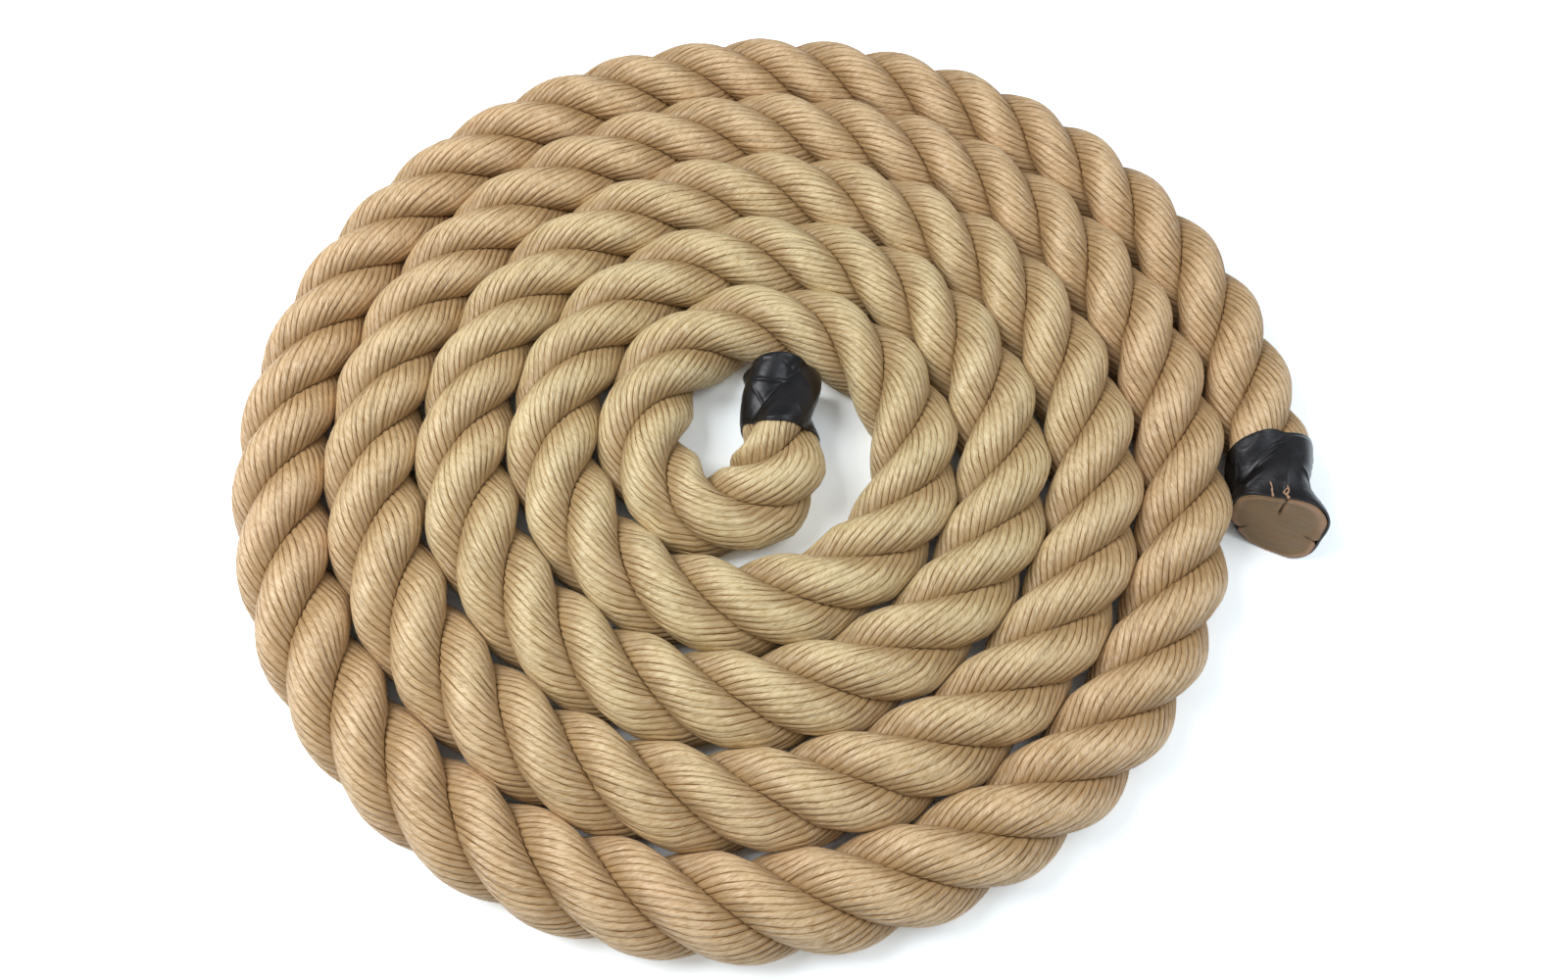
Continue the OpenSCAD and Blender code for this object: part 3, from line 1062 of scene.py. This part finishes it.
END_SHAPES = {
    End.INNER: EndShape(
        mouth_top=-1.2,
        mouth_left=-7,
        mouth_right=-3.2,
        folds=(
            Fold((136, 19), (80, 21), 0.55, 0.8),
            Fold((121, 7.5), (84, 20), 0.6, 0.9),
            Fold((138, 18), (121, 7.5), 0.4, 0.7),
            Fold((92, 30), (68, 26), -0.6, 1.8),
            Fold((150, 28), (104, 30.5), 0.4, 1),
            Fold((60, 31), (38, 14), 0.3, 0.8),
            Fold((74, 12), (52, 2), 0.25, 0.9),
            Fold((205, 5), (160, 16), 0.4, 1),
        ),
        facets=((126, 17, 6, 0.9), (112, 27, 4.5, 0.7), (62, 20, 9, 0.5)),
        seams=((98, 0.5), (218, 0.62), (338, 0.7)),
        tape_seed=5,
    ),
    End.OUTER: EndShape(
        mouth_top=2.2,
        mouth_left=-3.2,
        mouth_right=-0.6,
        folds=(
            Fold((138, 17.5), (98, 10.5), 0.6, 0.7),
            Fold((128, 13.8), (94, 6.8), 0.55, 0.6),
            Fold((118, 8.8), (78, 3.6), 0.5, 0.7),
            Fold((66, 17), (22, 27), 0.55, 1),
            Fold((60, 24), (14, 33), 0.5, 0.9),
            Fold((34, 8), (8, 10), 0.35, 0.5),
            Fold((34, 11), (6, 13.5), 0.35, 0.5),
            Fold((36, 14), (8, 17), 0.35, 0.5),
            Fold((150, 30), (118, 22), 0.35, 1),
            Fold((96, 33), (88, 20), 0.3, 0.7),
            Fold((176, 20), (158, 8), 0.35, 0.8),
        ),
        facets=((130, 9, 8, 1.5), (72, 20, 8, 0.8), (28, 24, 7, 0.7), (150, 25, 6, 0.8)),
        seams=((93, 0.28), (222, 0.74), (352, 0.7)),
        tape_seed=7,
        spread=1,
        drips=(
            Drip(((112, 0), (112.6, 2), (112, 4.2), (113.6, 6.6))),
            Drip(((92, 0), (94.5, 1.6), (91, 3.4), (92.5, 6)), 1.1),
            Drip(((94, 1.4), (98, 2.2), (95, 4), (92, 4.6)), 0.8),
        ),
    ),
}


@dataclass
class EndForm:
    """The rounded three-lobed form of one end, which its tape and its melted face share.

    Its depths are distances behind the end's cut face.
    """

    path: CoilPath
    end: End
    cut_radius: float = 17.3 * MM
    cut_blend: float = 17 * MM

    @property
    def shape(self) -> EndShape:
        """What is this end's own."""
        return END_SHAPES[self.end]

    def at(self, depth: Array) -> Array:
        """Places along the rope at depths, in one row."""
        flat = np.ravel(depth)
        return flat if self.end is End.INNER else self.path.length - flat

    def band(self, depth: Array, phi: Array, extra: float, sag: float) -> Array:
        """Radius of a band round the three crowns, which sags a little where it bridges them.

        Args:
            depth: Depths behind the cut face.
            phi: Angles round the rope, from the way out of the coil, in the shape of depth.
            extra: How far the band stands off the crowns.
            sag: How far it hangs in between them.

        Returns:
            The radii, in the shape of depth.
        """
        rope, s = self.path.rope, self.at(depth)
        off, share = self.path.off_crown(s, phi.ravel()), self.path.share(s)
        offset, crown = rope.offset * share, rope.crown_radius * share + extra
        half = math.pi / rope.strands
        bridge = (offset * math.cos(half) + crown) / np.cos(half - off)
        touch = np.arctan2(crown * math.sin(half), offset + crown * math.cos(half))
        bridge = bridge - sag * ease((off - touch) / (half - touch)) ** 2
        radius = np.where(off < touch, crown_reach(offset, crown, off), bridge)
        blend = self.shape.spread * ease(1.0 - self.path.end_distance(s) / self.cut_blend)
        radius = radius * (1.0 - blend) + (self.cut_outline(phi.ravel()) + extra) * blend
        return radius.reshape(depth.shape)

    def cut_outline(self, phi: Array) -> Array:
        """Radius of the outer cut, which the blade and the heat have spread into uneven lobes."""
        a = np.radians(phi)
        lobes = 1.5 * np.cos(a + 0.3) + 1.5 * np.cos(3 * a - 2.78) + 0.7 * np.cos(4 * a + 2.7)
        return self.cut_radius + lobes * MM

    def place(self, depth: Array, phi: Array, radius: Array) -> Array:
        """Points at depths, angles round the rope and radii, all of one shape."""
        turn, out = np.radians(phi.ravel()), radius.ravel()
        side, up = out * np.cos(turn), out * np.sin(turn)
        return self.path.place(self.at(depth), side[:, None], up[:, None])[:, 0]


@dataclass
class EndTape:
    """Tape wound round one end, stretched over the crowns and creased between them."""

    form: EndForm
    columns: int = 236
    rows: int = 84
    sag: float = 0.7 * MM
    least: float = 0.22 * MM
    creases: int = 26
    crease_height: float = 0.06
    edge_step: float = 0.25
    tail_step: float = 0.18
    tail_angle: float = 250.0

    def build(self) -> Object:
        """Makes the tape as a thin closed sleeve."""
        form, ends = self.form, self.form.path.ends
        phi = np.linspace(0.0, TURN, self.columns, endpoint=False)
        run = np.linspace(0.0, 1.0, self.rows)[:, None]
        if form.end is End.OUTER:
            run = run[::-1]
        width = self._width(phi)
        depth, back = ends.bare + width * run, width * (1.0 - run) / MM
        around = np.broadcast_to(phi, depth.shape)
        outer = form.band(depth, around, ends.over, self.sag)
        outer = self._facets(outer, around, back) + self._relief(around, back) * MM
        bare = form.band(depth, around, ends.tape_fit / 2, self.sag)
        outer = np.maximum(outer, bare + self.least)
        inner = np.minimum(bare, outer - self.least)
        # The rings run along the outside of the sleeve and back along its inside.
        there, back_again = form.place(depth, around, outer), form.place(depth[::-1], around, inner[::-1])
        faces = grid_quads(2 * self.rows, self.columns, closed=True).tolist()
        return mesh_object(f"{form.end.value}_tape", np.concatenate([there, back_again]), faces)

    def _width(self, phi: Array) -> Array:
        """Width of the wound tape at each angle, because its mouth isn't square to the rope."""
        shape, a = self.form.shape, np.radians(phi)
        drawn = shape.mouth_top * np.maximum(np.sin(a), 0.0)
        drawn = drawn + shape.mouth_left * np.maximum(-np.cos(a), 0.0) ** 2
        drawn = drawn + shape.mouth_right * np.maximum(np.cos(a), 0.0) ** 2
        scallops = 0.25 * np.sin(3.0 * a + 0.7) + 0.14 * np.sin(7.0 * a + 2.0)
        return self.form.path.ends.tape_width + (drawn + scallops) * MM

    def _facets(self, radius: Array, phi: Array, back: Array) -> Array:
        """Cuts flat places into the band, where the tape is pulled tight.

        Args:
            radius: Radius of the band.
            phi: Angles round the rope.
            back: Distances from the tape's mouth, in mm.

        Returns:
            The new radius.
        """
        for angle, away, reach, depth in self.form.shape.facets:
            off = np.radians(turned(phi, angle))
            plane = (self.form.path.rope.radius - depth * MM) / np.maximum(np.cos(off), 0.3)
            near = ease((reach - np.abs(back - away)) / 1.6 + 0.5) * (np.abs(off) < 1.2)
            radius = radius + (soft_least(radius, plane, 0.25 * MM) - radius) * near
        return radius

    def _relief(self, phi: Array, back: Array) -> Array:
        """Heights, in mm, of folds, layer edges and slack.

        Args:
            phi: Angles round the rope.
            back: Distances from the tape's mouth, in mm.

        Returns:
            The heights, in the shape of phi.
        """
        radius = self.form.path.rope.radius / MM
        per_degree = radius * math.pi / 180.0
        rng = np.random.default_rng(self.form.shape.tape_seed)
        folds = list(self.form.shape.folds)
        for _ in range(self.creases):
            angle, away, lean = rng.uniform(0, TURN), rng.uniform(2, 33), rng.uniform(-1.2, 0.5)
            reach = rng.uniform(2, 6)
            run, rise = reach * math.cos(lean) / per_degree, reach * math.sin(lean)
            ends = (angle - run, away - rise), (angle + run, away + rise)
            folds.append(Fold(*ends, self.crease_height, rng.uniform(0.3, 0.6)))
        total = sum(fold.rise(phi, back, radius) for fold in folds)
        # The outer layer stops short of the one below, and its cut end lies along the rope.
        edge = 1.5 + 0.4 * np.sin(np.radians(phi * 2 + 40)) + 0.2 * np.sin(np.radians(phi * 5))
        total = total - self.edge_step * (1.0 - ease((back - edge) / 0.45))
        tail = (phi - self.tail_angle + 0.9 * back) % TURN
        return total + self.tail_step * (1.0 - ease(tail / 2.0)) * (tail < 180.0)


@dataclass
class SealedEnd:
    """The melted plate on one cut face, with a raised rim and the three seams between the strands.

    A side ring is its depth behind the cut face and its share of the overlap.
    """

    form: EndForm
    columns: int = 200
    face_rings: int = 44
    side_rings: tuple[tuple[float, float], ...] = (
        (5 * MM, 0.0),
        (3.2 * MM, 0.0),
        (1.6 * MM, 0.4),
        (0.8 * MM, 1.0),
        (0.3 * MM, 0.9),
    )
    inset: float = 0.3 * MM
    overlap: float = 0.9 * MM
    sag: float = 0.9 * MM
    rim: float = 0.5 * MM
    hollow: float = 0.35 * MM
    nick: float = 2.4 * MM
    seam: float = 1.0 * MM
    blade_step: float = 0.1 * MM
    blade_levels: tuple[float, ...] = (0.62, 0.3, -0.12, -0.5)
    dents: int = 20
    seed: int = 3

    def build(self) -> Object:
        """Makes the plate as a closed body: its side, its rounded rim and its face."""
        form = self.form
        phi = np.linspace(0.0, TURN, self.columns, endpoint=False)
        low = ease((0.35 - np.sin(np.radians(phi))) / 0.7) * form.shape.spread
        low = low * self.overlap
        shares = np.concatenate([[0.985, 0.965], np.linspace(0.94, 0.04, self.face_rings)])
        radius = [self._edge(back, phi) - self.inset + low * lap for back, lap in self.side_rings]
        radius = np.array(radius + [radius[-1] * share for share in shares])
        sides = [np.full(self.columns, back) for back, _ in self.side_rings]
        depth = np.concatenate([sides, self._depth(shares[:, None], phi)])
        tips = np.array([depth[0, 0], depth[-1].mean()])
        share = np.concatenate([np.ones(len(sides)), shares])[:, None]
        points = [form.place(depth, np.broadcast_to(phi, depth.shape), radius)]
        points.append(form.place(tips, np.zeros(2), np.zeros(2)))
        marks = [self._marks(share, phi).reshape(-1, 2), np.zeros((2, 2))]
        faces = closed_tube(len(radius), self.columns)
        if form.end is End.INNER:
            faces = [face[::-1] for face in faces]
        for drip in form.shape.drips:
            more, skin = self._thread(drip)
            before = sum(map(len, points))
            faces += [[before + index for index in face] for face in skin]
            points.append(more)
            marks.append(np.tile([0.9, 0.0], (len(more), 1)))
        pairs = np.concatenate(marks)[np.concatenate(faces)]
        return mesh_object(f"{form.end.value}_melted_face", np.concatenate(points), faces, {YARN_MAP: pairs})

    def _thread(self, drip: Drip) -> tuple[Array, Faces]:
        """Points and faces of one thread of melted fibre, which lies on the tape."""
        phi, back = drip.line()
        radius = self.form.band(back, phi, self.form.path.ends.over, 0.7 * MM) + 0.25 * MM
        run = np.linspace(0.0, 1.0, len(phi))
        uneven = 1.0 - 0.45 * run + 0.2 * np.sin(17.0 * run)
        return thread(self.form.place(back, phi, radius), drip.thickness * MM * uneven)

    def _edge(self, back: float, phi: Array) -> Array:
        """Works out the plate's side, uneven and nicked at each seam.

        Args:
            back: Depth behind the cut face.
            phi: Angles round the rope.

        Returns:
            The radius at each angle.
        """
        radius = self.form.band(np.full_like(phi, back), phi, 0.0, self.sag)
        rng = np.random.default_rng(self.seed)
        for wave in range(5, 17):
            swing = rng.uniform(-0.1, 0.1) * MM
            radius = radius + swing * np.cos(np.radians(wave * phi + rng.uniform(0, TURN)))
        for angle, reach in self.form.shape.seams:
            radius = radius - self.nick * reach * bell(turned(phi, angle) / (6.0 * reach), 1.5)
        return radius

    def _depth(self, share: Array, phi: Array) -> Array:
        """Shape of the face: a rounded rim, the seams, and the steps and dents of the hot cut.

        Args:
            share: Shares of the way from the face's middle to its edge, in a column.
            phi: Angles round the rope, in a row.

        Returns:
            Depths behind the face's plane.
        """
        rng = np.random.default_rng(self.seed + 7)
        x, y = share * np.cos(np.radians(phi)), share * np.sin(np.radians(phi))
        depth = self.rim * np.clip((share - 0.95) / 0.035, 0.0, 1.0) ** 2 + np.zeros_like(x)
        depth = depth + self.hollow * ease((0.9 - share) / 0.09)
        for angle, reach in self.form.shape.seams:
            away = turned(phi, angle)
            # A seam wanders a little on its way in.
            bent = away + 5.0 * np.sin((1.0 - share) * 9.0) * (1.0 - share)
            near = bell(share * np.radians(bent) * 17.5 / 0.5) * (np.abs(away) < 70.0)
            depth = depth + self.seam * near * ease((share - reach) / 0.22)
        # The blade left shallow steps that run level across the face.
        for level in self.blade_levels:
            curve = level + 0.12 * np.sin(3.0 * x + 5.0 * level)
            depth = depth + self.blade_step * ease((y - curve) / 0.05) * ease((0.9 - share) / 0.1)
        for _ in range(self.dents):
            cx, cy, r = rng.uniform(-0.8, 0.8), rng.uniform(-0.8, 0.8), rng.uniform(0.05, 0.16)
            depth = depth + rng.uniform(-0.12, 0.16) * MM * bell(np.hypot(x - cx, y - cy) / r)
        return np.maximum(depth, 0.0)

    def _marks(self, share: Array, phi: Array) -> Array:
        """Marks the paler rim, and the seams, where shade is painted.

        Args:
            share: Shares of the way from the face's middle to its edge, in a column.
            phi: Angles round the rope, in a row.

        Returns:
            Two values from 0 to 1 for each point.
        """
        a = np.radians(phi)
        low = ease((-np.sin(a) + 0.1) / 0.5)
        high = ease((np.sin(a) - 0.15) / 0.4) * ease((np.cos(a) + 0.15) / 0.4)
        rim = bell((share - 0.95) / (0.055 + 0.07 * high)) * (0.25 + 0.75 * low + 0.7 * high)
        seam = np.zeros_like(rim)
        for angle, reach in self.form.shape.seams:
            away = turned(phi, angle) * share
            seam = seam + bell(away / 2.0) * ease((share - reach + 0.05) / 0.2) * 0.85
            rim = rim + 0.5 * bell(away / 6.0) * ease((share - reach - 0.1) / 0.3)
        return np.clip(np.stack([rim, seam], -1), 0.0, 1.0)


# ---------------------------------------------------------------- floor, light and camera


@dataclass(frozen=True)
class Lamp:
    """A square soft light that points at the coil."""

    name: str
    at: Place
    power: float
    size: float
    colour: Colour

    def build(self) -> None:
        """Adds the light."""
        data = bpy.data.lights.new(self.name, "AREA")
        data.energy, data.size, data.color = self.power, self.size, self.colour
        lamp = bpy.data.objects.new(self.name, data)
        bpy.context.scene.collection.objects.link(lamp)
        lamp.location = self.at
        lamp.rotation_euler = lamp.location.to_track_quat("Z", "Y").to_euler()


@dataclass(frozen=True)
class Studio:
    """A pale floor, soft light and the camera."""

    floor_size: float = 6.0
    floor_tone: Colour = (0.8, 0.8, 0.8)
    floor_seen: Colour = (1.6, 1.74, 1.84)
    floor_far: float = 1.8
    world_tone: Colour = (0.97, 0.985, 1.0)
    world_strength: float = 0.4
    lamps: tuple[Lamp, ...] = (
        Lamp("key", (-0.48, 0.0, 0.66), 4.35, 0.48, (1.0, 0.985, 0.96)),
        Lamp("fill", (0.52, -0.02, 0.72), 1.8, 0.5, (0.98, 0.99, 1.0)),
    )
    camera_at: Place = (0.00228, -0.25051, 0.45183)
    elevation: float = 63.525
    roll: float = 1.086
    lens: float = 27.154
    sensor: float = 36.0

    def build(self) -> None:
        """Makes everything that isn't the object."""
        self._floor()
        self._world()
        for lamp in self.lamps:
            lamp.build()
        self._camera()

    def _floor(self) -> None:
        """Makes the floor, which shows paler to the camera than it lights the rope, and keeps its shadows."""
        corners = np.array([[-1.0, -1.0, 0.0], [1.0, -1.0, 0.0], [1.0, 1.0, 0.0], [-1.0, 1.0, 0.0]])
        floor = mesh_object("floor", corners * self.floor_size / 2, [[0, 1, 2, 3]])
        made, g = new_finish("pale floor")[:2]
        g.tree.nodes.clear()
        path = g.add("LightPath")
        seen = g.math("MAXIMUM", path.outputs["Is Camera Ray"], path.outputs["Is Glossy Ray"])
        # The lamps stand near the coil, so the floor they light less, farther out, is paler.
        away = g.add("VectorMath", {0: g.spot()}, operation="LENGTH").outputs["Value"]
        far = g.fade(away, 0.3, 1.3, 1.0, self.floor_far)
        shown = g.add("VectorMath", {0: self.floor_seen, "Scale": far}, operation="SCALE").outputs[0]
        surface = g.add("BsdfDiffuse", {"Color": g.blend(seen, self.floor_tone, shown)})
        g.add("OutputMaterial", {"Surface": surface.outputs[0]})
        floor.data.materials.append(made)

    def _world(self) -> None:
        """Lights the scene evenly and shows white behind it."""
        world = bpy.data.worlds.new("studio")
        world.use_nodes = True
        g = Graph(world.node_tree)
        shown = g.times(g.add("LightPath").outputs["Is Camera Ray"], 1.0 - self.world_strength)
        strength = g.math("ADD", self.world_strength, shown)
        g.feed(g.tree.nodes["Background"], {"Color": self.world_tone, "Strength": strength})
        bpy.context.scene.world = world

    def _camera(self) -> None:
        """Adds the camera and makes it the scene's."""
        e, r = math.radians(self.elevation), math.radians(self.roll)
        right = np.array([1.0, 0.0, 0.0])
        up = np.array([0.0, math.sin(e), math.cos(e)])
        pose = np.eye(4)
        pose[:3, 0] = right * math.cos(r) + up * math.sin(r)
        pose[:3, 1] = up * math.cos(r) - right * math.sin(r)
        pose[:3, 2] = 0.0, -math.cos(e), math.sin(e)
        pose[:3, 3] = self.camera_at
        data = bpy.data.cameras.new("camera")
        data.lens, data.sensor_width, data.sensor_fit = self.lens, self.sensor, "HORIZONTAL"
        data.clip_start = 0.01
        camera = bpy.data.objects.new("camera", data)
        bpy.context.scene.collection.objects.link(camera)
        camera.matrix_world = Matrix(pose.tolist())
        bpy.context.scene.camera = camera


# ---------------------------------------------------------------- the whole rope


@dataclass
class CoiledRope:
    """The coiled rope with all its pieces."""

    path: CoilPath
    effects: Effects
    path_step: float = 12 * MM

    def build(self) -> None:
        yarn = YarnFinish().material(self.effects)
        tape = TapeFinish().material(self.effects)
        seal = SealFinish().material(self.effects)
        laid = LaidStrands(self.path)
        strands, others = [], []
        for number in range(self.path.rope.strands):
            strand = laid.build(number)
            put_on(strand, yarn)
            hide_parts(f"strand_{number + 1}")
            strands.append(strand)
        for end in End:
            form = EndForm(self.path, end)
            wrap = EndTape(form).build()
            put_on(wrap, tape)
            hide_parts(f"{end.value}_end_tape")
            plate = SealedEnd(form).build()
            put_on(plate, seal)
            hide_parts(f"{end.value}_sealed_end")
            others += [wrap, plate]
        for piece in (*strands, *others):
            log.info("%s: %d faces", piece.name, len(piece.data.polygons))
        marks = np.linspace(0.0, self.path.length, int(self.path.length / self.path_step) + 1)
        line = self.path.centre(marks)


def main() -> None:
    """Builds the scene in order."""
    logging.basicConfig(level=logging.INFO, format="%(name)s: %(message)s")
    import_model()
    bpy.context.scene.view_settings.view_transform = "Standard"
    Studio().build()
    path = CoilPath(RopeSizes(), EndSizes())
    log.info("length of the rope: %.4f m", path.length)
    CoiledRope(path, Effects.build()).build()


if __name__ == "__main__":
    main()
